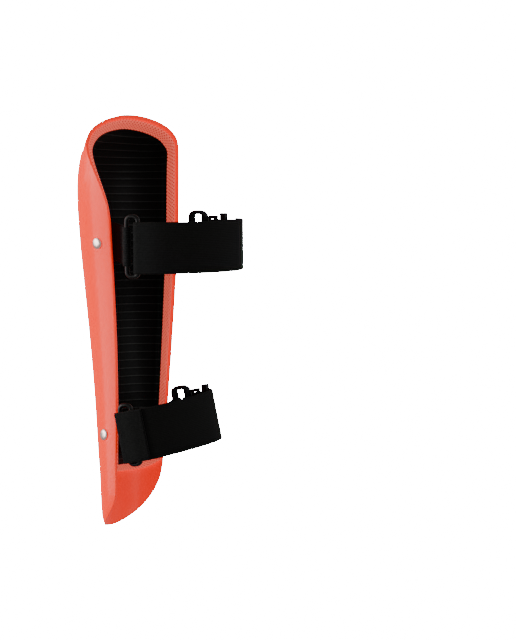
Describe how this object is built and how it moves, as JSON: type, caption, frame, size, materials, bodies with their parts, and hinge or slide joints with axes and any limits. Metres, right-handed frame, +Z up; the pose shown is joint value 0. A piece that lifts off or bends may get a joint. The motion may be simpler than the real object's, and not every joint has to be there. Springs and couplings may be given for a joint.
{
  "type": "shin guard",
  "caption": "Moulded shin guard shell with a foam liner and two elastic strap loops that close behind the calf with hooks.",
  "frame": {"origin": "the seat of the shin on the liner's inner face, near mid height", "axes": "+Z up the leg, -Y to the front of the guard, +X to the outer side (a left leg's guard)"},
  "size_m": [0.135, 0.1373, 0.361],
  "materials": {
    "shell": "gloss",
    "foam": "matte",
    "mesh": "matte",
    "panel": "satin",
    "nickel": "polished",
    "webbing": "matte",
    "elastic": "matte",
    "moulding": "satin"
  },
  "bodies": {
    "guard": {"shell": "shell", "liner": "foam", "border": "mesh", "panel": "panel", "rivets": "nickel", "washers": "nickel", "upper_outer_tab": "webbing", "upper_inner_tab": "webbing", "lower_outer_tab": "webbing", "lower_inner_tab": "webbing", "upper_outer_ring": "moulding", "lower_outer_ring": "moulding", "upper_strap": "elastic", "lower_strap": "elastic"},
    "upper_keeper": {"upper_inner_ring": "moulding"},
    "lower_keeper": {"lower_inner_ring": "moulding"},
    "upper_end": {"upper_strap_end": "elastic", "upper_hook": "moulding"},
    "lower_end": {"lower_strap_end": "elastic", "lower_hook": "moulding", "lower_slider": "moulding"},
    "upper_adjuster": {"upper_slider": "moulding"}
  },
  "joints": [
    {"name": "upper_end_swing", "type": "hinge", "parent": "guard", "child": "upper_end", "pos_m": [-0.05998, 0.0928, 0.06868], "axis": [-0.0279, 0, -0.9996], "range_deg": [0, 70]},
    {"name": "lower_end_swing", "type": "hinge", "parent": "guard", "child": "lower_end", "pos_m": [-0.04175, 0.08103, -0.08189], "axis": [-0.1031, 0.165, -0.9809], "range_deg": [0, 70]},
    {"name": "upper_ring_swing", "type": "hinge", "parent": "guard", "child": "upper_keeper", "pos_m": [-0.05998, 0.0508, 0.06868], "axis": [-0.0279, 0, -0.9996], "range_deg": [0, 60]},
    {"name": "lower_ring_swing", "type": "hinge", "parent": "guard", "child": "lower_keeper", "pos_m": [-0.04234, 0.047, -0.08756], "axis": [-0.1031, 0.165, -0.9809], "range_deg": [0, 60]},
    {"name": "upper_slider_slide", "type": "slide", "parent": "upper_end", "child": "upper_adjuster", "axis": [0, 1, 0], "range_m": [0, 0.006]}
  ]
}
